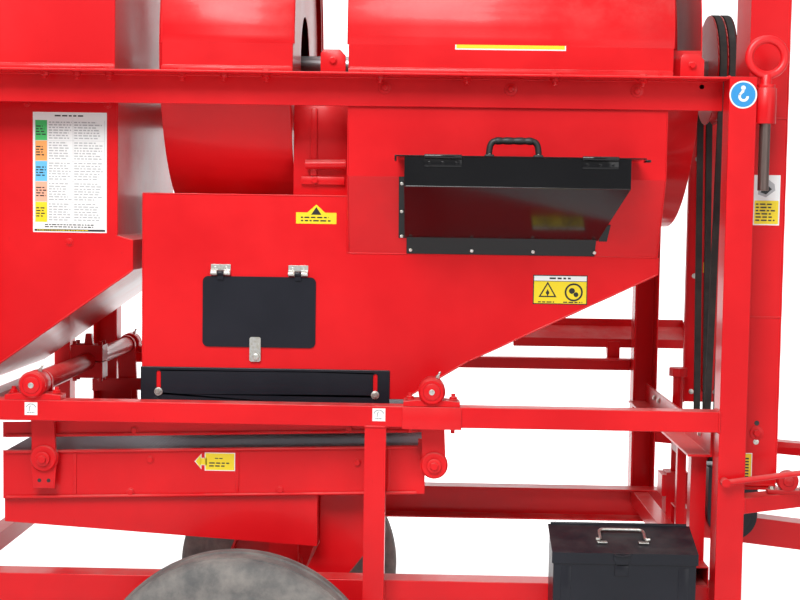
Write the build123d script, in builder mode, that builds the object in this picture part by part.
"""Wheeled grain thresher and cleaner, built as separate named pieces.

Millimetres. +Z up, +X towards the drawbar, -Y is the side with the access door.
The origin lies on the ground below the middle of the whole machine.
"""
import os
from math import cos, pi, sin, sqrt

from build123d import *

# ---- overall -----------------------------------------------------------------
FRAME_LEFT = -1330.0         # left end of the frame
POST_RIGHT = 551.0           # left face of the right corner posts
HALF_WIDTH = 547.5           # outer face of the posts, each side of the middle plane
TOP_RAIL_TOP = 1840.0
MID_RAIL_TOP = 1046.0
CHASSIS_TOP = 660.0
NEAR_DROP = 55.0             # the near chassis rail lies this much lower than the far one
OVERALL_END = 1330.0         # tip of the hitch ring

# ---- frame sections ----------------------------------------------------------
TOP_ANGLE, TOP_WALL = 75.0, 6.0
MID_TUBE, TUBE_WALL = 50.0, 3.0
CORNER_POST = 65.0
FAR_POST, FAR_POST_WALL = 75.0, 6.0
FAR_POST_X = (-1206.0, 505.0)  # left faces of the two far channel posts
CHASSIS_H, CHASSIS_FLANGE, CHASSIS_WALL = 100.0, 65.0, 6.0
FAR_ANGLE, FAR_ANGLE_WALL = 40.0, 5.0
CROSS_W, CROSS_H, CROSS_LEFT = 45.0, 48.0, 505.0
END_ANGLE, END_ANGLE_WALL, END_ANGLE_DROP = 60.0, 6.0, 70.0
STAND_Y, STAND = (-HALF_WIDTH + 127.5, -170.0), (38.0, 24.0)  # uprights below the end angle
MID_POST_X = -296.5

# ---- running gear ------------------------------------------------------------
WHEEL_X, TYRE_R, TYRE_W = -590.0, 354.0, 160.0
BEAD_R, RIM_R = 195.0, 193.0
WHEEL_Y = HALF_WIDTH + TYRE_W / 2 + 15       # middle of each tyre
SPINDLE_R, AXLE_TUBE = 20.0, 70.0
TONGUE, TONGUE_TOP, TONGUE_SLOPE = 74.0, CHASSIS_TOP + 44, 0.11
STRUT_H, STRUT_W, STRUT_END = 38.0, 60.0, 190.0
STRUT_TOP = CHASSIS_TOP + 178
HITCH_R, HITCH_BORE, HITCH_T = 45.0, 27.0, 30.0
HEAD_X = (1140.0, 1200.0)

# ---- threshing rotor and casings ---------------------------------------------
ROTOR_Z = TOP_RAIL_TOP + 74
BOX_X, BOX_Y = (-350.0, 421.0), HALF_WIDTH - TOP_ANGLE - 3
TROUGH_R, TROUGH_X = BOX_Y - 38.5, (-340.0, 508.0)
BLOWER_R, BLOWER_X = TROUGH_R - 16, (-822.0, -498.0)
SHEET = 3.0
SHAFT_R = 25.0
DRUM_R, PEG_L, PEG_R, PEG_ROWS, PEGS = TROUGH_R - 111, 70.0, 9.0, 6, 7
FAN_R, FAN_BLADES, AIR_HOLE_R = BLOWER_R - 55, 4, 130.0
BOX_FOLD, BODY_TOP_RIGHT = TOP_RAIL_TOP - 243, ROTOR_Z - TROUGH_R - 76
BODY_Y, BODY_LEFT = BOX_Y - 92, -869.0
BODY_TOP, BODY_BOTTOM = TOP_RAIL_TOP - 291, MID_RAIL_TOP - 6
BODY_STEP, BODY_RIGHT, BODY_CORNER = -353.5, 426.0, BODY_TOP_RIGHT - 42
SLOPE_A, SLOPE_B = (-46.0, BODY_BOTTOM + 100), (-207.0, BODY_BOTTOM)
COVER_X, BLOWER_COVER_X = (-351.0, 432.0), (-805.0, -486.0)
ASPIRATOR_X, HOOD_RIGHT = (-1330.0, -933.0), -918.0
COLLAR, COLLAR_Z, ASPIRATOR_LOW = -893.0, (1356.0, 1432.0), 1043.0
HOOD_TOP = TOP_RAIL_TOP + 320

# ---- fittings on the near face -----------------------------------------------
DOOR_X, DOOR_Z = (-716.0, -431.0), (BODY_TOP - 383, BODY_TOP - 205)
DOOR_T, DOOR_R = 3.0, 14.0
DOOR_PIN_R = 4.0
SKIRT_X, SKIRT_TOP, SKIRT_H, SKIRT_T = (-872.0, -242.0), BODY_BOTTOM + 73, 105.0, 3.0
SKIRT_BOLT_Z, SKIRT_BOLT_X = BODY_BOTTOM + 10, (-826.5, -278.5)
SLOT_W, SLOT_TOP = 11.0, SKIRT_TOP - 10
LATCH_X, LATCH_Z, LATCH_L, LATCH_W = -580.5, DOOR_Z[0] - 24, 62.0, 28.0
HOPPER_X, HOPPER_FRONT = (-210.0, 317.0), BOX_Y + 138
HOPPER_LID, HOPPER_FOLD = BOX_FOLD + 43, BOX_FOLD - 26
HOPPER_END, HOPPER_LOW = 270.0, BODY_TOP_RIGHT + 40
LID_X, LID_T = (-229.0, 352.0), 3.0
LID_HINGE_X = ((-164.0, -77.0), (203.0, 287.0))
HANDLE_X, HANDLE_H, HANDLE_BAR, HANDLE_Y = (-22.0, 118.0), 48.0, 16.0, HOPPER_FRONT - 67.5

# ---- sieve shoe --------------------------------------------------------------
HUB_LEFT, HUB_RIGHT, HUB_Z = -1098.0, -136.8, MID_RAIL_TOP + 37
ARM_DX, ARM_DZ, ARM_W, ARM_T, BOSS_R = 9.0, -190.0, 57.0, 14.0, 34.0
PIPE_R, PIPE_WALL, PIN_R = 24.0, 5.0, 14.0
ARM_Y = HALF_WIDTH - CORNER_POST - 2         # near face of the rocker arms
SHOE_Y, SHOE_T, SHOE_X, SHOE_RISE = ARM_Y - ARM_T - 15.5, 4.0, (-1200.0, -150.0), 0.03
SHOE_TOP, SHOE_DEPTH = HUB_Z - 178, 121.0
BAND_BOTTOM, BAND_H = HUB_Z - 145, 38.0
PAN_RIGHT, PAN_LOW = -416.0, (SHOE_TOP - 181, SHOE_TOP - 229)
CHUTE_X, CHUTE_LOW = (-455.0, -262.0), SHOE_TOP - 320
SIEVE_DEPTH = (4.0, 60.0)    # how far each screen lies below the top of the sides

# ---- end drive, elevator, jack, boxes ----------------------------------------
PULLEY_X, PULLEY_R, LOW_PULLEY_R = (608.0, 660.0), 140.0, 60.0
GROOVE, BELT_W, BELT_T = 21.0, 17.0, 11.0
ELEVATOR_X, ELEVATOR_Y = (620.0, 715.0), (-HALF_WIDTH + 100.5, -HALF_WIDTH + 246.5)
ELEVATOR_Z = (STRUT_TOP + 8, TOP_RAIL_TOP + 260)
LOW_SHAFT_Z, LOW_SHAFT_R = MID_RAIL_TOP - 146, 15.0
BOOT_X, BOOT_Y, BOOT_R = 700.0, (-70.0, 70.0), 68.0
BOOT_TOP, BOOT_LOW = TONGUE_TOP + 120, TONGUE_TOP - 12
JACK_X, JACK_Y, JACK_OUTER, JACK_TOP = 583.0, 150.0, 64.0, CHASSIS_TOP + 107
JACK_BRACKET, KNOB_LIFT, JACK_FOOT = (78.0, 62.0), 284.0, 80.0
SOCKET_X, SOCKET_Z = POST_RIGHT + CORNER_POST + 26, (TOP_RAIL_TOP - 108, TOP_RAIL_TOP - 24)
SOCKET_R, ROD_R, ROD_TAIL = 25.0, 13.0, 157.0
EYE_Z, EYE_R, EYE_BAR = TOP_RAIL_TOP + 49, 42.0, 10.0
SCREW_R = 12.0               # jack screw
TOOL_X, TOOL_DEPTH, TOOL_RISE = (157.0, 494.0), 119.0, 39.0
TOOL_Z = (CHASSIS_TOP - 140, CHASSIS_TOP + 52)
TOOL_Y = (-HALF_WIDTH + 60.5 - TOOL_DEPTH, -HALF_WIDTH + 60.5)
TRAY_X, TRAY_Y, TRAY_WALL = (130.0, 700.0), (HALF_WIDTH + 4.5, HALF_WIDTH + 167.5), 28.0
TRAY_Z, TRAY_BRACKET = (MID_RAIL_TOP + 46, MID_RAIL_TOP + 99), (430.0, 470.0)
LEVER_R, LEVER_L, LEVER_Z = 7.0, 200.0, STRUT_TOP + 42

# ---- clearances --------------------------------------------------------------
RUN = 0.05                   # radial, shaft in bearing
GAP = 0.5                    # between pieces that move past each other
LAY = 0.4                    # between a sheet and the face it lies on

os.makedirs("parts", exist_ok=True)


def keep(piece, label):
    """Name a finished piece and write it to its own file."""
    piece.part.label = label
    export_step(piece.part, f"parts/{label}.step")


def block(x, y, z, mode=Mode.ADD):
    """A box between two values on each axis."""
    middle = [(a[0] + a[1]) / 2 for a in (x, y, z)]
    with Locations(tuple(middle)):
        Box(x[1] - x[0], y[1] - y[0], z[1] - z[0], mode=mode)


def slab_xz(points, y, mode=Mode.ADD):
    """An outline in X and Z, given thickness from y[0] to y[1]."""
    with BuildSketch(Plane.XZ.offset(-y[1])) as profile:
        with BuildLine():
            Polyline(*points, close=True)
        make_face()
    extrude(profile.sketch, amount=y[1] - y[0], mode=mode)


def slab_yz(points, x, mode=Mode.ADD):
    """An outline in Y and Z, given length from x[0] to x[1]."""
    with BuildSketch(Plane.YZ.offset(x[0])) as profile:
        with BuildLine():
            Polyline(*points, close=True)
        make_face()
    extrude(profile.sketch, amount=x[1] - x[0], mode=mode)


def rod(start, direction, length, radius, mode=Mode.ADD):
    """A round bar from a point, along a direction."""
    with BuildSketch(Plane(origin=start, z_dir=direction)) as profile:
        Circle(radius)
    extrude(profile.sketch, amount=length, mode=mode)


def ring(start, direction, length, outer, inner):
    """A round tube from a point, along a direction."""
    with BuildSketch(Plane(origin=start, z_dir=direction)) as profile:
        Circle(outer)
        Circle(inner, mode=Mode.SUBTRACT)
    extrude(profile.sketch, amount=length)


def tube_box(x, y, z, wall, along):
    """A square or oblong tube, open along one axis: 0, 1 or 2."""
    block(x, y, z)
    inner = [x, y, z]
    for axis in range(3):
        if axis != along:
            inner[axis] = (inner[axis][0] + wall, inner[axis][1] - wall)
    block(*inner, mode=Mode.SUBTRACT)


def both(pair):
    """The mirrored range on the other side of the middle plane."""
    return (-pair[1], -pair[0])


def x_dir(side=1):
    """Unit vector along X."""
    return (side, 0, 0)


Y_DIR, Z_DIR = (0, 1, 0), (0, 0, 1)
near_post_y = (-HALF_WIDTH, -HALF_WIDTH + CORNER_POST)
chassis_y = HALF_WIDTH - CORNER_POST          # outer face of each chassis rail
chassis_bottom = CHASSIS_TOP - CHASSIS_H
mid_bottom = MID_RAIL_TOP - MID_TUBE
right_post_x = (POST_RIGHT, POST_RIGHT + CORNER_POST)
near_top, near_bottom = CHASSIS_TOP - NEAR_DROP, chassis_bottom - NEAR_DROP

# ---- frame -------------------------------------------------------------------
with BuildPart() as top_rails:
    for side in (-1, 1):
        inner = HALF_WIDTH - TOP_ANGLE
        outline = [(side * HALF_WIDTH, TOP_RAIL_TOP), (side * inner, TOP_RAIL_TOP),
                   (side * inner, TOP_RAIL_TOP - TOP_ANGLE),
                   (side * (inner + TOP_WALL), TOP_RAIL_TOP - TOP_ANGLE),
                   (side * (inner + TOP_WALL), TOP_RAIL_TOP - TOP_WALL),
                   (side * HALF_WIDTH, TOP_RAIL_TOP - TOP_WALL)]
        slab_yz(outline, (FRAME_LEFT, POST_RIGHT))
keep(top_rails, "top_rails")

with BuildPart() as mid_rail_near:
    tube_box((FRAME_LEFT + MID_TUBE, POST_RIGHT), (-HALF_WIDTH, -HALF_WIDTH + MID_TUBE),
             (mid_bottom, MID_RAIL_TOP), TUBE_WALL, 0)
keep(mid_rail_near, "mid_rail_near")

far_rail_top = MID_RAIL_TOP + 14
with BuildPart() as mid_rail_far:
    outline = [(HALF_WIDTH - FAR_ANGLE, far_rail_top), (HALF_WIDTH, far_rail_top),
               (HALF_WIDTH, far_rail_top - FAR_ANGLE),
               (HALF_WIDTH - FAR_ANGLE_WALL, far_rail_top - FAR_ANGLE),
               (HALF_WIDTH - FAR_ANGLE_WALL, far_rail_top - FAR_ANGLE_WALL),
               (HALF_WIDTH - FAR_ANGLE, far_rail_top - FAR_ANGLE_WALL)]
    slab_yz(outline, (FRAME_LEFT + MID_TUBE, FAR_POST_X[0]))
    slab_yz(outline, (FAR_POST_X[0] + FAR_POST, FAR_POST_X[1]))
keep(mid_rail_far, "mid_rail_far")

with BuildPart() as left_end_posts:
    for y, foot in ((near_post_y, near_bottom), (both(near_post_y), chassis_bottom)):
        tube_box((FRAME_LEFT, FRAME_LEFT + MID_TUBE), y, (foot, TOP_RAIL_TOP - TOP_ANGLE),
                 TUBE_WALL, 2)
keep(left_end_posts, "left_end_posts")

with BuildPart() as mid_post_near:
    tube_box((MID_POST_X, MID_POST_X + MID_TUBE + 1), near_post_y, (near_bottom, mid_bottom),
             TUBE_WALL, 2)
keep(mid_post_near, "mid_post_near")

with BuildPart() as right_post_near:
    tube_box(right_post_x, near_post_y, (near_bottom, TOP_RAIL_TOP + 1), TUBE_WALL, 2)
keep(right_post_near, "right_post_near")

with BuildPart() as far_posts:
    for left, top in zip(FAR_POST_X, (far_rail_top + 170, TOP_RAIL_TOP - TOP_ANGLE)):
        x = (left, left + FAR_POST)
        block(x, both(near_post_y), (chassis_bottom, top))
        block((x[0] + FAR_POST_WALL, x[1] - FAR_POST_WALL),
              (chassis_y, HALF_WIDTH - FAR_POST_WALL), (chassis_bottom, top),
              mode=Mode.SUBTRACT)
keep(far_posts, "far_posts")

chassis_x = (FRAME_LEFT, POST_RIGHT + CORNER_POST)
with BuildPart() as chassis_rails:
    for side, low, high in ((-1, near_bottom, near_top), (1, chassis_bottom, CHASSIS_TOP)):
        outer, lip = side * chassis_y, side * (chassis_y - CHASSIS_FLANGE)
        web = side * (chassis_y - CHASSIS_WALL)
        outline = [(outer, low), (outer, high), (lip, high), (lip, high - CHASSIS_WALL),
                   (web, high - CHASSIS_WALL), (web, low + CHASSIS_WALL),
                   (lip, low + CHASSIS_WALL), (lip, low)]
        slab_yz(outline, chassis_x)
keep(chassis_rails, "chassis_rails")

# the cross tubes lie on the near rail and run into the far one
cross_z = (near_top, near_top + CROSS_H)
cross_y = (-chassis_y, chassis_y - CHASSIS_WALL)
inner_y = (-HALF_WIDTH + CORNER_POST, HALF_WIDTH - CORNER_POST)
angle_low = mid_bottom - END_ANGLE_DROP
with BuildPart() as cross_members:
    for left in (FRAME_LEFT + 20, CROSS_LEFT):
        tube_box((left, left + CROSS_W), cross_y, cross_z, TUBE_WALL, 1)
    tube_box((FRAME_LEFT, FRAME_LEFT + MID_TUBE), inner_y, (mid_bottom - 30, MID_RAIL_TOP - 30),
             TUBE_WALL, 1)
    left, wall = POST_RIGHT - END_ANGLE, END_ANGLE_WALL
    corner = [(left, angle_low), (POST_RIGHT, angle_low), (POST_RIGHT, angle_low + END_ANGLE),
              (POST_RIGHT - wall, angle_low + END_ANGLE), (POST_RIGHT - wall, angle_low + wall),
              (left, angle_low + wall)]
    slab_xz(corner, inner_y)
    for y, size in zip(STAND_Y, STAND):
        tube_box((POST_RIGHT - 1 - size, POST_RIGHT - 1), (y, y + size), (cross_z[1], angle_low),
                 TUBE_WALL, 2)
keep(cross_members, "cross_members")

# ---- axle and wheels ---------------------------------------------------------
axle_z = (TYRE_R - AXLE_TUBE / 2, TYRE_R + AXLE_TUBE / 2)
axle_half = WHEEL_Y - TYRE_W / 2 - 30
hub_y = (WHEEL_Y - 60, WHEEL_Y + TYRE_W / 2)
with BuildPart() as axle:
    block((WHEEL_X - AXLE_TUBE / 2, WHEEL_X + AXLE_TUBE / 2), (-axle_half, axle_half), axle_z)
    for side in (-1, 1):
        rod((WHEEL_X, side * axle_half, TYRE_R), (0, side, 0), WHEEL_Y + 50 - axle_half,
            SPINDLE_R)
        y = sorted((side * (chassis_y - 50), side * (chassis_y - 10)))
        seat = near_bottom if side < 0 else chassis_bottom
        block((WHEEL_X - 45, WHEEL_X + 45), y, (axle_z[1], seat))
keep(axle, "axle")


def tyre(side):
    """A round-shouldered tyre on its own axis, then moved to its side."""
    half, shoulder = TYRE_W / 2, 26.0
    with BuildPart() as piece:
        with BuildSketch(Plane.YZ.offset(WHEEL_X)) as section:
            with Locations((side * WHEEL_Y, TYRE_R + (TYRE_R + BEAD_R) / 2)):
                RectangleRounded(2 * half, TYRE_R - BEAD_R, shoulder)
        revolve(section.sketch, axis=Axis((WHEEL_X, 0, TYRE_R), Y_DIR))
    return piece


def rim(side):
    """Rim barrel, dished disc and hub as one welded wheel centre."""
    with BuildPart() as piece:
        start = side * (WHEEL_Y - TYRE_W / 2 + 12)
        ring((WHEEL_X, start, TYRE_R), (0, side, 0), TYRE_W - 24, RIM_R + 1.5, RIM_R - 6)
        ring((WHEEL_X, side * (WHEEL_Y - 6), TYRE_R), (0, side, 0), 8, RIM_R - 5, 40)
        ring((WHEEL_X, side * hub_y[0], TYRE_R), (0, side, 0), hub_y[1] - hub_y[0] - 14, 45,
             SPINDLE_R + RUN)
        rod((WHEEL_X, side * (hub_y[1] - 15), TYRE_R), (0, side, 0), 15, 38)
        for turn in range(5):
            a = turn * 2 * pi / 5
            rod((WHEEL_X + 72 * cos(a), side * (WHEEL_Y - 8), TYRE_R + 72 * sin(a)),
                (0, side, 0), 26, 11)
    return piece


keep(tyre(-1), "tyre_near")
keep(tyre(1), "tyre_far")
keep(rim(-1), "rim_near")
keep(rim(1), "rim_far")

# ---- drawbar -----------------------------------------------------------------
cross_right = CROSS_LEFT + CROSS_W
hitch_x = OVERALL_END - HITCH_R
tongue_x = (cross_right, hitch_x - HITCH_R)


def tongue_top(x):
    """Height of the falling drawbar tongue's upper face."""
    return TONGUE_TOP - (x - cross_right) * TONGUE_SLOPE


def tongue_shape(x, grow=0.0):
    """The tongue's outline in X and Z, grown by a clearance above and below."""
    return [(x[0], tongue_top(x[0]) - TONGUE - grow), (x[1], tongue_top(x[1]) - TONGUE - grow),
            (x[1], tongue_top(x[1]) + grow), (x[0], tongue_top(x[0]) + grow)]


hitch_z = tongue_top(tongue_x[1]) - TONGUE / 2 - HITCH_T / 2
half_tongue = TONGUE / 2
with BuildPart() as drawbar_tongue:
    slab_xz(tongue_shape(tongue_x), (-half_tongue, half_tongue))
    slab_xz(tongue_shape((tongue_x[0] - 1, tongue_x[1] - 8), -5.0),
            (-half_tongue + 5, half_tongue - 5), mode=Mode.SUBTRACT)
    rod((hitch_x, 0, hitch_z), Z_DIR, HITCH_T, HITCH_R)
    block((tongue_x[1] - 4, hitch_x), (-HITCH_R * 0.7, HITCH_R * 0.7),
          (hitch_z, hitch_z + HITCH_T))
    rod((hitch_x, 0, hitch_z - 1), Z_DIR, HITCH_T + 2, HITCH_BORE, mode=Mode.SUBTRACT)
    saddle = STRUT_TOP - STRUT_H
    block(HEAD_X, (-half_tongue, half_tongue), (tongue_top(HEAD_X[1]) - 10, saddle))
    block(HEAD_X, (-STRUT_END - STRUT_W / 2, STRUT_END + STRUT_W / 2), (saddle - 8, saddle))
keep(drawbar_tongue, "drawbar_tongue")

with BuildPart() as drawbar_struts:
    for side in (-1, 1):
        near = side * (HALF_WIDTH - CORNER_POST / 2)
        left = right_post_x[1] if side < 0 else FAR_POST_X[1] + FAR_POST
        with BuildSketch(Plane.XY.offset(STRUT_TOP - STRUT_H)) as flat:
            with BuildLine():
                Polyline((left, near - STRUT_W / 2), (left, near + STRUT_W / 2),
                         (HEAD_X[1], side * STRUT_END + STRUT_W * 0.45),
                         (HEAD_X[1], side * STRUT_END - STRUT_W * 0.45), close=True)
            make_face()
        extrude(flat.sketch, amount=STRUT_H)
keep(drawbar_struts, "drawbar_struts")

# ---- casings -----------------------------------------------------------------
body_outline = [(BODY_LEFT, BODY_TOP), (BODY_STEP, BODY_TOP), (BODY_STEP, BODY_TOP_RIGHT),
                (BODY_RIGHT, BODY_TOP_RIGHT), (BODY_RIGHT, BODY_CORNER), SLOPE_A, SLOPE_B,
                (BODY_LEFT, BODY_BOTTOM)]
s = SHEET
body_inner = [(BODY_LEFT + s, BODY_TOP - s), (BODY_STEP - s, BODY_TOP - s),
              (BODY_STEP - s, BODY_TOP_RIGHT + s), (BODY_RIGHT - s, BODY_TOP_RIGHT + s),
              (BODY_RIGHT - s, BODY_CORNER + s * 0.6), (SLOPE_A[0] - s * 0.6, SLOPE_A[1] + s),
              (SLOPE_B[0] - s * 0.6, SLOPE_B[1] + s), (SLOPE_B[0] - s, BODY_BOTTOM - s),
              (BODY_LEFT + s, BODY_BOTTOM - s)]
hole_in = 16.0               # lap of the door around its hole
with BuildPart() as body_casing:
    slab_xz(body_outline, (-BODY_Y, BODY_Y))
    slab_xz(body_inner, (-BODY_Y + s, BODY_Y - s), mode=Mode.SUBTRACT)
    block((BODY_STEP, BODY_RIGHT - s), (-BODY_Y + s, BODY_Y - s),
          (BODY_TOP_RIGHT - s, BODY_TOP_RIGHT + s), mode=Mode.SUBTRACT)
    rod((BLOWER_X[0] - 1, 0, ROTOR_Z), x_dir(), BLOWER_X[1] - BLOWER_X[0] + 2, BLOWER_R + GAP,
        mode=Mode.SUBTRACT)
    block((DOOR_X[0] + hole_in, DOOR_X[1] - hole_in), (-BODY_Y - 1, -BODY_Y + s + 1),
          (DOOR_Z[0] + hole_in, DOOR_Z[1] - hole_in), mode=Mode.SUBTRACT)
keep(body_casing, "body_casing")

box_top = TOP_RAIL_TOP - TOP_WALL
box_low = BODY_TOP_RIGHT
lean = (BOX_Y - BODY_Y) / (BOX_FOLD - box_low)
box_outline = [(-BOX_Y, box_top), (-BOX_Y, BOX_FOLD), (-BODY_Y, box_low), (BODY_Y, box_low),
               (BOX_Y, BOX_FOLD), (BOX_Y, box_top)]
box_inner = [(-BOX_Y + s, box_top + 1), (-BOX_Y + s, BOX_FOLD), (-BODY_Y + s, box_low - 1),
             (BODY_Y - s, box_low - 1), (BOX_Y - s, BOX_FOLD), (BOX_Y - s, box_top + 1)]
with BuildPart() as upper_box:
    slab_yz(box_outline, BOX_X)
    slab_yz(box_inner, (BOX_X[0] + s, BOX_X[1] - s), mode=Mode.SUBTRACT)
    rod((BOX_X[0] - 1, 0, ROTOR_Z), x_dir(), BOX_X[1] - BOX_X[0] + 2, TROUGH_R + GAP,
        mode=Mode.SUBTRACT)
keep(upper_box, "upper_box")

with BuildPart() as drum_trough:
    ring((TROUGH_X[0], 0, ROTOR_Z), x_dir(), TROUGH_X[1] - TROUGH_X[0], TROUGH_R, TROUGH_R - s)
    block(TROUGH_X, (-TROUGH_R - 1, TROUGH_R + 1), (ROTOR_Z, ROTOR_Z + TROUGH_R + 1),
          mode=Mode.SUBTRACT)
    for x in (TROUGH_X[0], TROUGH_X[1] - s):
        ring((x, 0, ROTOR_Z), x_dir(), s, TROUGH_R - s / 2, SHAFT_R + 4)
keep(drum_trough, "drum_trough")

with BuildPart() as blower_casing:
    ring((BLOWER_X[0], 0, ROTOR_Z), x_dir(), BLOWER_X[1] - BLOWER_X[0], BLOWER_R, BLOWER_R - s)
    for x in (BLOWER_X[0], BLOWER_X[1] - s):
        ring((x, 0, ROTOR_Z), x_dir(), s, BLOWER_R - s / 2, AIR_HOLE_R if x > BLOWER_X[0] else SHAFT_R + 4)
keep(blower_casing, "blower_casing")


hinge_pin = (BOX_Y + 7, TOP_RAIL_TOP + 8)


def arched(x, front, barrels=()):
    """A rounded hood: upright sides, then half a circle over the rotor."""
    piece_top = ROTOR_Z
    with BuildPart() as piece:
        base = TOP_RAIL_TOP + 1
        block(x, (-front, front), (base, piece_top))
        block((x[0] - 1, x[1] + 1), (-front + s, front - s), (base - 1, piece_top),
              mode=Mode.SUBTRACT)
        with BuildSketch(Plane.YZ.offset(x[0])) as hoop:
            with BuildLine():
                upper = CenterArc((0, piece_top), front, 0, 180)
                lower = CenterArc((0, piece_top), front - s, 0, 180)
                Line(upper @ 0, lower @ 0)
                Line(upper @ 1, lower @ 1)
            make_face()
        extrude(hoop.sketch, amount=x[1] - x[0])
        for end in (x[0], x[1] - s):
            with BuildSketch(Plane.YZ.offset(end)) as sheet_end:
                with BuildLine():
                    outer = CenterArc((0, piece_top), front - s / 2, 0, 180)
                    inner = CenterArc((0, piece_top), TROUGH_R + GAP, 0, 180)
                    Line(outer @ 0, inner @ 0)
                    Line(outer @ 1, inner @ 1)
                make_face()
            extrude(sheet_end.sketch, amount=s)
        for start in barrels:
            rod((start, *hinge_pin), x_dir(), 60, 6)
            block((start, start + 60), (front - 1, hinge_pin[0]),
                  (hinge_pin[1] - 3, hinge_pin[1] + 3))
    return piece


keep(arched(COVER_X, BOX_Y, (COVER_X[0] + 80, COVER_X[1] - 140)), "upper_cover")
keep(arched(BLOWER_COVER_X, BOX_Y), "blower_cover")

asp, collar = ASPIRATOR_X, COLLAR
fall = (COLLAR_Z[0] - ASPIRATOR_LOW) / (collar - asp[0])
aspirator_outline = [(asp[0], box_top), (asp[1], box_top), (asp[1], COLLAR_Z[1] + 11),
                     (collar, COLLAR_Z[1]), (collar, COLLAR_Z[0]), (asp[0], ASPIRATOR_LOW)]
aspirator_inner = [(asp[0] + s, box_top + 1), (asp[1] - s, box_top + 1),
                   (asp[1] - s, COLLAR_Z[1] + 9), (collar - s, COLLAR_Z[1] - 2),
                   (collar - s, COLLAR_Z[0] + 2),
                   (asp[0] + s, ASPIRATOR_LOW + fall * s + 4)]
with BuildPart() as aspirator_casing:
    slab_xz(aspirator_outline, (-BODY_Y, BODY_Y))
    slab_xz(aspirator_inner, (-BODY_Y + s, BODY_Y - s), mode=Mode.SUBTRACT)
keep(aspirator_casing, "aspirator_casing")

with BuildPart() as intake_hood:
    hood_z = (TOP_RAIL_TOP + 1, HOOD_TOP)
    hood_x = (asp[0], HOOD_RIGHT)
    tube_box(hood_x, (-BOX_Y, BOX_Y), hood_z, s, 2)
keep(intake_hood, "intake_hood")

# ---- threshing rotor ---------------------------------------------------------
bearing_x = (BLOWER_X[0] - 42, BLOWER_X[0])
right_bearing_x = (TROUGH_X[1], TROUGH_X[1] + 42)
low_bearing_x = (POST_RIGHT, POST_RIGHT + 42)
with BuildPart() as shaft_bearings:
    for x, z, bore, face in ((bearing_x, ROTOR_Z, SHAFT_R, bearing_x[1] - 12),
                             (right_bearing_x, ROTOR_Z, SHAFT_R, right_bearing_x[0]),
                             (low_bearing_x, LOW_SHAFT_Z, LOW_SHAFT_R, low_bearing_x[0])):
        boss = 2 * bore + 2
        ring((x[0], 0, z), x_dir(), x[1] - x[0], boss, bore + RUN)
        block((face, face + 12), (-1.45 * boss, 1.45 * boss), (z - 1.45 * boss, z + 1.45 * boss))
        rod((face - 1, 0, z), x_dir(), 14, bore + RUN, mode=Mode.SUBTRACT)
keep(shaft_bearings, "shaft_bearings")

shaft_x = (bearing_x[0] - 15, PULLEY_X[1] + 6)
with BuildPart() as rotor_shaft:
    rod((shaft_x[0], 0, ROTOR_Z), x_dir(), shaft_x[1] - shaft_x[0], SHAFT_R)
keep(rotor_shaft, "rotor_shaft")

drum_x = (TROUGH_X[0] + 40, TROUGH_X[1] - 40)
with BuildPart() as threshing_drum:
    ring((drum_x[0], 0, ROTOR_Z), x_dir(), drum_x[1] - drum_x[0], DRUM_R, DRUM_R - 5)
    for x in (drum_x[0], drum_x[1] - 6):
        ring((x, 0, ROTOR_Z), x_dir(), 6, DRUM_R - 2, SHAFT_R)
    for row in range(PEG_ROWS):
        a = row * 2 * pi / PEG_ROWS
        for peg in range(PEGS):
            x = drum_x[0] + 60 + peg * (drum_x[1] - drum_x[0] - 120) / (PEGS - 1)
            rod((x, (DRUM_R - 4) * cos(a), ROTOR_Z + (DRUM_R - 4) * sin(a)),
                (0, cos(a), sin(a)), PEG_L, PEG_R)
keep(threshing_drum, "threshing_drum")

fan_x = (BLOWER_X[0] + 40, BLOWER_X[1] - 40)
with BuildPart() as fan_wheel:
    ring((fan_x[0], 0, ROTOR_Z), x_dir(), fan_x[1] - fan_x[0], 60, SHAFT_R)
    for blade in range(FAN_BLADES):
        with Locations(Location((sum(fan_x) / 2, 0, ROTOR_Z), (blade * 360 / FAN_BLADES, 0, 0))):
            with Locations((0, 0, (FAN_R + 55) / 2)):
                Box(fan_x[1] - fan_x[0], 6, FAN_R - 55)
keep(fan_wheel, "fan_wheel")


def grooved(x, y, z, radius, bore):
    """A two-groove belt pulley on a shaft along X."""
    with BuildPart() as piece:
        ring((x[0], y, z), x_dir(), x[1] - x[0], radius + 8, bore)
        for groove in (0, 1):
            left = x[0] + 4 + groove * (GROOVE + 4)
            with BuildSketch(Plane((left, y, z), x_dir=(0, 1, 0), z_dir=(1, 0, 0))) as cut:
                Circle(radius + 10)
                Circle(radius - 2, mode=Mode.SUBTRACT)
            extrude(cut.sketch, amount=GROOVE, mode=Mode.SUBTRACT)
    return piece


keep(grooved(PULLEY_X, 0, ROTOR_Z, PULLEY_R, SHAFT_R), "rotor_pulley")
low_pulley_blank = grooved(PULLEY_X, 0, LOW_SHAFT_Z, LOW_PULLEY_R, LOW_SHAFT_R)
with BuildPart() as low_pulley:
    add(low_pulley_blank.part)
    rod((low_bearing_x[0] + 1, 0, LOW_SHAFT_Z), x_dir(), PULLEY_X[1] + 8 - low_bearing_x[0],
        LOW_SHAFT_R)
keep(low_pulley, "low_pulley")

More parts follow.
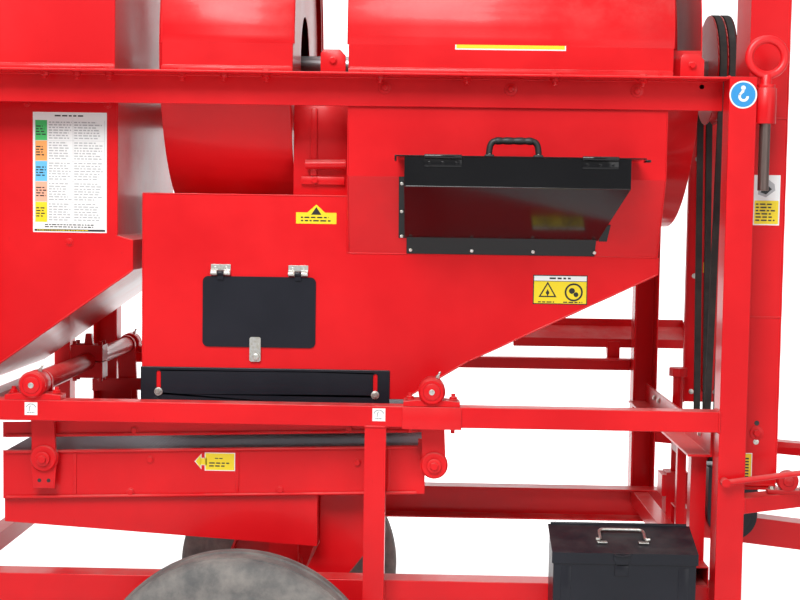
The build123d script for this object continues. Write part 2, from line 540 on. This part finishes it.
# belt loops: outer tangents of the two pulleys, drawn downwards from the rotor shaft
span = ROTOR_Z - LOW_SHAFT_Z
with BuildPart() as drive_belts:
    for groove in (0, 1):
        left = PULLEY_X[0] + 4 + (GROOVE - BELT_W) / 2 + groove * (GROOVE + 4)
        along = Plane((left, 0, ROTOR_Z), x_dir=(0, 0, -1), z_dir=(1, 0, 0))
        for grow, mode in ((BELT_T, Mode.ADD), (0.0, Mode.SUBTRACT)):
            big, small = PULLEY_R - 2 + GAP + grow, LOW_PULLEY_R - 2 + GAP + grow
            c = (big - small) / span
            d = sqrt(1 - c * c)
            with BuildSketch(along) as loop:
                with BuildLine():
                    Polyline((big * c, big * d), (span + small * c, small * d),
                             (span + small * c, -small * d), (big * c, -big * d), close=True)
                make_face()
                Circle(big)
                with Locations((span, 0)):
                    Circle(small)
            extrude(loop.sketch, amount=BELT_W, mode=mode)
keep(drive_belts, "drive_belts")

with BuildPart() as elevator_casing:
    block(ELEVATOR_X, ELEVATOR_Y, ELEVATOR_Z)
    block((ELEVATOR_X[0] + s, ELEVATOR_X[1] - s), (ELEVATOR_Y[0] + s, ELEVATOR_Y[1] - s),
          (ELEVATOR_Z[0] + s, ELEVATOR_Z[1] - s), mode=Mode.SUBTRACT)
keep(elevator_casing, "elevator_casing")

with BuildPart() as elevator_boot:
    block((BOOT_X - BOOT_R, BOOT_X + BOOT_R), BOOT_Y, (BOOT_LOW, BOOT_TOP))
    rod((BOOT_X, BOOT_Y[0], BOOT_LOW), Y_DIR, BOOT_Y[1] - BOOT_Y[0], BOOT_R)
    slab_xz(tongue_shape((BOOT_X - BOOT_R - 1, BOOT_X + BOOT_R + 1), GAP),
            (-half_tongue - GAP, half_tongue + GAP), mode=Mode.SUBTRACT)
keep(elevator_boot, "elevator_boot")

# ---- near-face fittings ------------------------------------------------------
door_y = (-BODY_Y - LAY - DOOR_T, -BODY_Y - LAY)
door_pin = (-BODY_Y - LAY - DOOR_T - DOOR_PIN_R, DOOR_Z[1] + 8)
hinge_x = ((-696.0, -646.0), (-501.0, -451.0))
with BuildPart() as access_door:
    with BuildSketch(Plane.XZ.offset(-door_y[1])) as face:
        with Locations(((DOOR_X[0] + DOOR_X[1]) / 2, (DOOR_Z[0] + DOOR_Z[1]) / 2)):
            RectangleRounded(DOOR_X[1] - DOOR_X[0], DOOR_Z[1] - DOOR_Z[0], DOOR_R)
    extrude(face.sketch, amount=DOOR_T)
    for x in hinge_x:
        third = (x[1] - x[0]) / 3
        middle = (x[0] + third + GAP, x[1] - third - GAP)
        block(middle, (door_pin[0] - 1, door_y[0]), (DOOR_Z[1] - 8, door_pin[1]))
        rod((middle[0], *door_pin), x_dir(), middle[1] - middle[0], DOOR_PIN_R + 2)
        block(middle, (door_y[1], door_y[1] + 5), (door_pin[1] - 12, door_pin[1] + 8),
              mode=Mode.SUBTRACT)
keep(access_door, "access_door")

with BuildPart() as door_hinges:
    for x in hinge_x:
        third = (x[1] - x[0]) / 3
        block(x, (-BODY_Y - 2, -BODY_Y), (door_pin[1] + 7, door_pin[1] + 22))
        for knuckle in ((x[0], x[0] + third), (x[1] - third, x[1])):
            block(knuckle, (door_pin[0], -BODY_Y), (door_pin[1] + 2, door_pin[1] + 9))
            rod((knuckle[0], *door_pin), x_dir(), third, DOOR_PIN_R + 2)
            block(knuckle, (door_y[0] - GAP, -BODY_Y + 1), (door_pin[1] - 12, door_pin[1] + 2),
                  mode=Mode.SUBTRACT)
keep(door_hinges, "door_hinges")

skirt_y = (-BODY_Y - LAY - SKIRT_T, -BODY_Y - LAY)
bolt_face = -skirt_y[0] + LAY
with BuildPart() as skirt_plate:
    block(SKIRT_X, skirt_y, (SKIRT_TOP - SKIRT_H, SKIRT_TOP))
    slot_z = (SKIRT_BOLT_Z - SLOT_W / 2 - 1, SLOT_TOP)
    for x in SKIRT_BOLT_X:
        with BuildSketch(Plane.XZ.offset(-skirt_y[1])) as slot:
            with Locations((x, sum(slot_z) / 2)):
                SlotOverall(slot_z[1] - slot_z[0], SLOT_W, rotation=90)
        extrude(slot.sketch, amount=SKIRT_T, mode=Mode.SUBTRACT)
keep(skirt_plate, "skirt_plate")

latch_y = (-BODY_Y - DOOR_T - 2 * LAY - 3, -BODY_Y - DOOR_T - 2 * LAY)
with BuildPart() as door_latch:
    with BuildSketch(Plane.XZ.offset(-latch_y[1])) as strap:
        with Locations((LATCH_X - 2, LATCH_Z + LATCH_L / 2 - 12)):
            RectangleRounded(LATCH_W, LATCH_L, 5)
        with Locations((LATCH_X, LATCH_Z)):
            Circle(5 + RUN, mode=Mode.SUBTRACT)
    extrude(strap.sketch, amount=3)
keep(door_latch, "door_latch")

rail_bolts_x = (-1077, -1000, -922, -747, -647, -545, -273, -66, 144, 353)
face_bolts_x = (-262, 42, 345)
face_bolt_y, face_bolt_z = -(HALF_WIDTH - TOP_ANGLE + TOP_WALL), TOP_RAIL_TOP - 30
with BuildPart() as fasteners:
    for side in (-1, 1):
        for x in rail_bolts_x:
            y = side * (HALF_WIDTH - 35)
            with BuildSketch(Plane.XY.offset(TOP_RAIL_TOP)) as head:
                with Locations((x, y)):
                    RegularPolygon(11, 6)
            extrude(head.sketch, amount=8)
            with BuildSketch(Plane.XY.offset(TOP_RAIL_TOP - TOP_WALL - 10)) as nut:
                with Locations((x, y)):
                    RegularPolygon(11, 6)
            extrude(nut.sketch, amount=10)
    for x in SKIRT_BOLT_X:
        rod((x, -BODY_Y, SKIRT_BOLT_Z), (0, -1, 0), bolt_face - BODY_Y, 4.5)
        rod((x, -bolt_face, SKIRT_BOLT_Z), (0, -1, 0), 2.5, 12)
        with BuildSketch(Plane.XZ.offset(bolt_face + 2.5)) as head:
            with Locations((x, SKIRT_BOLT_Z)):
                RegularPolygon(8.5, 6)
        extrude(head.sketch, amount=6)
    rod((LATCH_X, -BODY_Y, LATCH_Z), (0, -1, 0), -latch_y[0] - BODY_Y + LAY, 5)
    rod((LATCH_X, latch_y[0] - LAY, LATCH_Z), (0, -1, 0), 5, 9)
    for x in face_bolts_x:
        rod((x, face_bolt_y, face_bolt_z), (0, -1, 0), 3, 13)
        rod((x, face_bolt_y - 3, face_bolt_z), (0, -1, 0), 7, 9)
keep(fasteners, "fasteners")


def on_lean(z):
    """Distance of the box's leaning face from the middle plane at a height."""
    return BODY_Y + (z - box_low) * lean


def tapered(x_right, x_low, fold, low):
    """Cut the right end of the hopper so that it narrows below its fold."""
    slab_xz([(x_right, fold), (x_low, low), (x_low, low - 30), (x_right + 30, low - 30),
             (x_right + 30, fold)], (-HOPPER_FRONT - 10, -BODY_Y), mode=Mode.SUBTRACT)


back_low, back_fold = on_lean(HOPPER_LOW) + LAY, on_lean(BOX_FOLD) + LAY
with BuildPart() as hopper_hollow:
    slab_yz([(-HOPPER_FRONT + s, HOPPER_LID + 1), (-HOPPER_FRONT + s, HOPPER_FOLD + 2),
             (-back_low - 1, HOPPER_LOW + 5), (-back_low + 2, HOPPER_LOW + 5),
             (-back_fold + 2, BOX_FOLD), (-BOX_Y + 2, HOPPER_LID + 1)],
            (HOPPER_X[0] + s, HOPPER_X[1] - s))
    tapered(HOPPER_X[1] - s, HOPPER_END - s, HOPPER_FOLD, HOPPER_LOW)
with BuildPart() as return_hopper:
    slab_yz([(-HOPPER_FRONT, HOPPER_LID), (-HOPPER_FRONT, HOPPER_FOLD), (-back_low, HOPPER_LOW),
             (-back_fold, BOX_FOLD), (-BOX_Y - LAY, HOPPER_LID)], HOPPER_X)
    tapered(HOPPER_X[1], HOPPER_END, HOPPER_FOLD, HOPPER_LOW)
    add(hopper_hollow.part, mode=Mode.SUBTRACT)
    foot = on_lean(box_low + 1) + LAY
    lap = on_lean(HOPPER_LOW + 5) + LAY
    slab_yz([(-foot, box_low + 1), (-lap, HOPPER_LOW + 5), (-lap - s, HOPPER_LOW + 5),
             (-foot - s, box_low + 1)],
            (HOPPER_X[0] + 5, HOPPER_END - 5))
    slab_yz([(-back_low, HOPPER_LOW), (-back_fold, BOX_FOLD), (-back_fold - s, BOX_FOLD),
             (-back_low - s, HOPPER_LOW)], (HOPPER_X[0] - 15, HOPPER_X[0] + 1))
keep(return_hopper, "return_hopper")

lid_y = (-HOPPER_FRONT - 1, -BOX_Y - 4)
lid_z = (HOPPER_LID + GAP, HOPPER_LID + GAP + LID_T)
with BuildPart() as return_lid:
    block(LID_X, lid_y, lid_z)
    for x in LID_HINGE_X:
        rod((x[0], -HOPPER_FRONT - 5, HOPPER_LID + 1), x_dir(), x[1] - x[0], 5)
        block(x, (-HOPPER_FRONT - 5, -HOPPER_FRONT + 2), (lid_z[0], lid_z[1] + 2))
keep(return_lid, "return_lid")

with BuildPart() as lid_handle:
    bar = HANDLE_BAR
    outline = [(HANDLE_X[0], 0), (HANDLE_X[0] + 8, HANDLE_H - 14), (HANDLE_X[0] + 26, HANDLE_H),
               (HANDLE_X[1] - 26, HANDLE_H), (HANDLE_X[1] - 8, HANDLE_H - 14), (HANDLE_X[1], 0),
               (HANDLE_X[1] - 20, 0), (HANDLE_X[1] - 25, HANDLE_H - 24),
               (HANDLE_X[1] - 34, HANDLE_H - bar), (HANDLE_X[0] + 34, HANDLE_H - bar),
               (HANDLE_X[0] + 25, HANDLE_H - 24), (HANDLE_X[0] + 20, 0)]
    slab_xz([(x, z + lid_z[1]) for x, z in outline], (-HANDLE_Y - 11, -HANDLE_Y + 11))
keep(lid_handle, "lid_handle")

# ---- sieve shoe and its rockers ----------------------------------------------
pillow_y = (-HALF_WIDTH, -HALF_WIDTH + MID_TUBE)
with BuildPart() as rock_bearings:
    for hub in (HUB_LEFT, HUB_RIGHT):
        for side in (-1, 1):
            base = MID_RAIL_TOP if side < 0 else far_rail_top
            y = pillow_y if side < 0 else (HALF_WIDTH - FAR_ANGLE, HALF_WIDTH)
            slab_xz([(hub - 68, base), (hub + 68, base), (hub + 68, base + 12),
                     (hub + 34, base + 16), (hub - 34, base + 16), (hub - 68, base + 12)], y)
            rod((hub, y[0], HUB_Z), Y_DIR, y[1] - y[0], 32)
            rod((hub, y[0] - 1, HUB_Z), Y_DIR, y[1] - y[0] + 2, PIPE_R - 4 + RUN,
                mode=Mode.SUBTRACT)
            block((hub - 80, hub + 80), (y[0] - 1, y[1] + 1), (base - 30, base),
                  mode=Mode.SUBTRACT)
            if side > 0:
                block((FAR_POST_X[0], FAR_POST_X[0] + FAR_POST), both(near_post_y),
                      (base - 1, base + 60), mode=Mode.SUBTRACT)
keep(rock_bearings, "rock_bearings")

arm_y = (-ARM_Y, -ARM_Y + ARM_T)


def arm_outline(hub):
    """The two ends of a rocker arm."""
    return (hub, HUB_Z), (hub + ARM_DX, HUB_Z + ARM_DZ)


def arms(hub, bore):
    """Near and far rocker arms, with a stub shaft where there is no cross pipe."""
    with BuildPart() as piece:
        for y in (arm_y, both(arm_y)):
            top, low = arm_outline(hub)
            with BuildSketch(Plane.XZ.offset(-y[1])) as blade:
                with BuildLine():
                    Polyline((top[0] - ARM_W / 2, top[1]), (top[0] + ARM_W / 2, top[1]),
                             (low[0] + ARM_W / 2, low[1]), (low[0] - ARM_W / 2, low[1]),
                             close=True)
                make_face()
                with Locations(top):
                    Circle(ARM_W / 2)
                with Locations(low):
                    Circle(BOSS_R)
                    Circle(PIN_R + RUN, mode=Mode.SUBTRACT)
                if bore:
                    with Locations(top):
                        Circle(PIPE_R, mode=Mode.SUBTRACT)
            extrude(blade.sketch, amount=ARM_T)
            if not bore:
                outer = -HALF_WIDTH - 12 if y[0] < 0 else y[1]
                stub = y[0] - outer if y[0] < 0 else HALF_WIDTH + 12 - y[1]
                rod((hub, outer, HUB_Z), Y_DIR, stub, PIPE_R - 4)
    return piece


keep(arms(HUB_LEFT, True), "rock_arms_left")
keep(arms(HUB_RIGHT, False), "rock_arms_right")

with BuildPart() as rock_shaft:
    ring((HUB_LEFT, -HALF_WIDTH + MID_TUBE + 2, HUB_Z), Y_DIR, 2 * HALF_WIDTH - MID_TUBE - 46,
         PIPE_R, PIPE_R - PIPE_WALL)
    rod((HUB_LEFT, -HALF_WIDTH - 12, HUB_Z), Y_DIR, 2 * HALF_WIDTH + 24, PIPE_R - 4)
keep(rock_shaft, "rock_shaft")

with BuildPart() as rod_clamp:
    y = (-30.0, 30.0)
    block((HUB_LEFT - 45, HUB_LEFT + 45), y, (HUB_Z - 46, HUB_Z + 46))
    slab_xz([(HUB_LEFT - 12, HUB_Z + 46), (HUB_LEFT + 12, HUB_Z + 46), (HUB_LEFT + 8, HUB_Z + 76),
             (HUB_LEFT - 8, HUB_Z + 76)], (-8, 8))
    rod((HUB_LEFT, y[0] - 1, HUB_Z), Y_DIR, 62, PIPE_R, mode=Mode.SUBTRACT)
    block((HUB_LEFT - 46, HUB_LEFT + 46), (y[0] - 1, y[1] + 1), (HUB_Z - 1.5, HUB_Z + 1.5),
          mode=Mode.SUBTRACT)
    for dx in (-36, 36):
        for dy in (-18, 18):
            rod((HUB_LEFT + dx, dy, HUB_Z - 56), Z_DIR, 112, 6)
keep(rod_clamp, "rod_clamp")


def rise(x, z):
    """A height along the sloping shoe, given its height at the shoe's left end."""
    return z + (x - SHOE_X[0]) * SHOE_RISE


def strip(z, height, x=SHOE_X):
    """A sloping band's outline in X and Z."""
    return [(x[0], rise(x[0], z)), (x[1], rise(x[1], z)), (x[1], rise(x[1], z) - height),
            (x[0], rise(x[0], z) - height)]


side_y = (-SHOE_Y, -SHOE_Y + SHOE_T)
with BuildPart() as shoe_sides:
    for y in (side_y, both(side_y)):
        slab_xz(strip(SHOE_TOP, SHOE_DEPTH), y)
        slab_xz(strip(BAND_BOTTOM + BAND_H, BAND_H), y)
        for hub in (HUB_LEFT, HUB_RIGHT):
            x, z = hub + ARM_DX, HUB_Z + ARM_DZ
            outer = y[0] if y[0] < 0 else y[1]
            sign = -1 if y[0] < 0 else 1
            rod((x, outer, z), (0, sign, 0), ARM_Y + 12 - abs(outer), PIN_R)
            slab_xz([(x - 40, z - 30), (x + 13, z - 30), (x + 13, z + 60), (x - 40, z + 60)], y)
keep(shoe_sides, "shoe_sides")

sieve_y = (side_y[1], -side_y[1])
with BuildPart() as sieves:
    for depth in SIEVE_DEPTH:
        slab_xz(strip(SHOE_TOP - depth, 3), sieve_y)
keep(sieves, "sieves")

with BuildPart() as grain_pan:
    pan_y = (-SHOE_Y + 10, SHOE_Y - 10)
    left, right = SHOE_X[0], PAN_RIGHT
    low = SHOE_TOP - SHOE_DEPTH
    outline = [(left, rise(left, low) - GAP), (right, rise(right, low) - GAP),
               (right, PAN_LOW[1]), (left, PAN_LOW[0])]
    slab_xz(outline, pan_y)
    hollow = [(left + s, rise(left, low) + 1), (right - s, rise(right, low) + 1),
              (right - s, PAN_LOW[1] + s), (left + s, PAN_LOW[0] + s)]
    slab_xz(hollow, (pan_y[0] + s, pan_y[1] - s), mode=Mode.SUBTRACT)
keep(grain_pan, "grain_pan")

chute_y = (-SHOE_Y + 71, -120.0)
with BuildPart() as grain_chute:
    lean_x, foot_x, foot_z = CHUTE_X[1], CHUTE_X[0], CHUTE_LOW
    chute_top, waist = rise(lean_x, SHOE_TOP - SHOE_DEPTH), PAN_LOW[1] + 14
    slab_xz([(right + GAP, chute_top - 6), (lean_x, chute_top - 2), (lean_x, waist),
             (foot_x + 110, foot_z), (foot_x, foot_z), (right + GAP, waist - 20)], chute_y)
    slab_xz([(right + GAP + s, chute_top + 1), (lean_x - s, chute_top + 1),
             (lean_x - s, waist + 1), (foot_x + 110 - s, foot_z - 1), (foot_x + s, foot_z - 1),
             (right + GAP + s, waist - 20)],
            (chute_y[0] + s, chute_y[1] - s), mode=Mode.SUBTRACT)
keep(grain_chute, "grain_chute")

# ---- toolbox -----------------------------------------------------------------
tool_back = TOOL_Z[1] + TOOL_RISE
with BuildPart() as toolbox:
    s2 = 2.0
    outline = [(TOOL_Y[0], TOOL_Z[0]), (TOOL_Y[1], TOOL_Z[0]), (TOOL_Y[1], tool_back),
               (TOOL_Y[0], TOOL_Z[1])]
    hollow = [(TOOL_Y[0] + s2, TOOL_Z[0] + s2), (TOOL_Y[1] - s2, TOOL_Z[0] + s2),
              (TOOL_Y[1] - s2, tool_back + 5), (TOOL_Y[0] + s2, TOOL_Z[1] + 5)]
    slab_yz(outline, TOOL_X)
    slab_yz(hollow, (TOOL_X[0] + s2, TOOL_X[1] - s2), mode=Mode.SUBTRACT)
    for x in (TOOL_X[0] + 40, TOOL_X[1] - 70):
        block((x, x + 30), (TOOL_Y[1], -chassis_y), (near_top - 80, near_top - 10))
keep(toolbox, "toolbox")

lid_pin = (TOOL_Y[1] + 1.5, tool_back + 5)
tilt = TOOL_RISE / (TOOL_Y[1] - TOOL_Y[0])
with BuildPart() as toolbox_lid:
    front, back = TOOL_Y[0] - 4, TOOL_Y[1] - GAP
    drop = (TOOL_Y[1] - front) * tilt
    outline = [(front, tool_back - drop + 1), (back, tool_back + 1), (back, tool_back + 4),
               (front, tool_back - drop + 4)]
    slab_yz(outline, (TOOL_X[0] - 4, TOOL_X[1] + 4))
    slab_yz([(front, tool_back - drop + 1), (front, tool_back - drop - 22),
             (front + 2.5, tool_back - drop - 22), (front + 2.5, tool_back - drop + 2)],
            (TOOL_X[0] - 4, TOOL_X[1] + 4))
    rod((TOOL_X[0] + 3, *lid_pin), x_dir(), TOOL_X[1] - TOOL_X[0] - 6, 4)
keep(toolbox_lid, "toolbox_lid")

grip_x = (268.0, 383.0)
grip_y, grip_r = TOOL_Y[0] + 40, 4.0


def on_lid(y):
    """Height of the toolbox lid's top face."""
    return tool_back + 4 - (TOOL_Y[1] - y) * tilt


with BuildPart() as toolbox_handle:
    eye_z = on_lid(grip_y) + 9
    rod((grip_x[0] - 4, grip_y, eye_z), x_dir(), 16, grip_r)
    rod((grip_x[1] - 12, grip_y, eye_z), x_dir(), 16, grip_r)
    for x in (grip_x[0] + 8, grip_x[1] - 8):
        rod((x, grip_y, eye_z), (0, 1, tilt), 44, grip_r)
    rod((grip_x[0] + 4, grip_y + 42, eye_z + 42 * tilt), x_dir(), grip_x[1] - grip_x[0] - 8,
        grip_r)
keep(toolbox_handle, "toolbox_handle")

# ---- jack, lifting eye, tray, lever ------------------------------------------
wall, half = 5.0, JACK_OUTER / 2
with BuildPart() as jack_tube:
    x, y = (JACK_X - half, JACK_X + half), (JACK_Y - half, JACK_Y + half)
    tube_box(x, y, (CHASSIS_TOP - 260, JACK_TOP), wall, 2)
    block(x, y, (JACK_TOP, JACK_TOP + 6))
    block((x[0] - JACK_BRACKET[0] + JACK_OUTER, x[0]), (JACK_Y - half - 6, JACK_Y + half + 6),
          (JACK_TOP - JACK_BRACKET[1], JACK_TOP))
    block((cross_right, x[0]), (JACK_Y - 20, JACK_Y + 20), cross_z)
    rod((JACK_X, JACK_Y, JACK_TOP - 1), Z_DIR, 8, SCREW_R + RUN, mode=Mode.SUBTRACT)
keep(jack_tube, "jack_tube")

slim = half - wall - GAP
with BuildPart() as jack_leg:
    tube_box((JACK_X - slim, JACK_X + slim), (JACK_Y - slim, JACK_Y + slim),
             (10, JACK_TOP - 220), 4, 2)
    block((JACK_X - JACK_FOOT, JACK_X + JACK_FOOT), (JACK_Y - JACK_FOOT, JACK_Y + JACK_FOOT),
          (0, 10))
keep(jack_leg, "jack_leg")

knob_z = JACK_TOP + KNOB_LIFT
with BuildPart() as jack_screw:
    rod((JACK_X, JACK_Y, JACK_TOP - 180), Z_DIR, knob_z - JACK_TOP + 180, SCREW_R)
    rod((JACK_X, JACK_Y, JACK_TOP + 6 + GAP), Z_DIR, knob_z - JACK_TOP - 6 - GAP, SCREW_R + 3)
    with BuildSketch(Plane.XY.offset(knob_z)) as knob:
        with Locations((JACK_X, JACK_Y)):
            RegularPolygon(27, 8)
    extrude(knob.sketch, amount=24)
keep(jack_screw, "jack_screw")

socket_y = -HALF_WIDTH + 22
with BuildPart() as lifting_socket:
    ring((SOCKET_X, socket_y, SOCKET_Z[0]), Z_DIR, SOCKET_Z[1] - SOCKET_Z[0], SOCKET_R,
         ROD_R + RUN)
    block((right_post_x[1], SOCKET_X - SOCKET_R + 4), (socket_y - 10, socket_y + 10),
          (SOCKET_Z[0] + 5, SOCKET_Z[1] - 5))
    rod((SOCKET_X, socket_y, SOCKET_Z[0] - 1), Z_DIR, SOCKET_Z[1] - SOCKET_Z[0] + 2,
        ROD_R + RUN, mode=Mode.SUBTRACT)
keep(lifting_socket, "lifting_socket")

with BuildPart() as lifting_eye:
    tail = SOCKET_Z[0] - ROD_TAIL
    rod((SOCKET_X, socket_y, tail), Z_DIR, EYE_Z - EYE_R - tail, ROD_R)
    rod((SOCKET_X, socket_y, SOCKET_Z[1] + GAP), Z_DIR, 8, ROD_R + 8)
    with BuildSketch(Plane((SOCKET_X + EYE_R, socket_y, EYE_Z), x_dir=(1, 0, 0),
                           z_dir=(0, 0, 1))) as bar:
        Circle(EYE_BAR)
    revolve(bar.sketch, axis=Axis((SOCKET_X, socket_y, EYE_Z), Y_DIR))
keep(lifting_eye, "lifting_eye")

tray_low, tray_high = (TRAY_Y[0], TRAY_Z[0]), (TRAY_Y[1], TRAY_Z[1])
with BuildPart() as side_tray:
    outline = [tray_low, tray_high, (tray_high[0], tray_high[1] + TRAY_WALL),
               (tray_low[0], tray_low[1] + TRAY_WALL)]
    hollow = [(tray_low[0] + s, tray_low[1] + s), (tray_high[0] - s, tray_high[1] + s),
              (tray_high[0] - s, tray_high[1] + TRAY_WALL + 5),
              (tray_low[0] + s, tray_low[1] + TRAY_WALL + 5)]
    slab_yz(outline, TRAY_X)
    slab_yz(hollow, (TRAY_X[0] + s, TRAY_X[1] - s), mode=Mode.SUBTRACT)
    slab_yz([(HALF_WIDTH, far_rail_top - 30), (TRAY_Y[0] + 50, tray_low[1] + 15),
             (HALF_WIDTH, tray_low[1] + 20)], TRAY_BRACKET)
keep(side_tray, "side_tray")

lever_x = POST_RIGHT + 14
with BuildPart() as engage_lever:
    rod((lever_x, -HALF_WIDTH - 20, LEVER_Z), (1, 0, 0.15), LEVER_L, LEVER_R)
    rod((lever_x, -HALF_WIDTH - 0.5, LEVER_Z), (0, -1, 0), 30, LEVER_R + 3)
keep(engage_lever, "engage_lever")
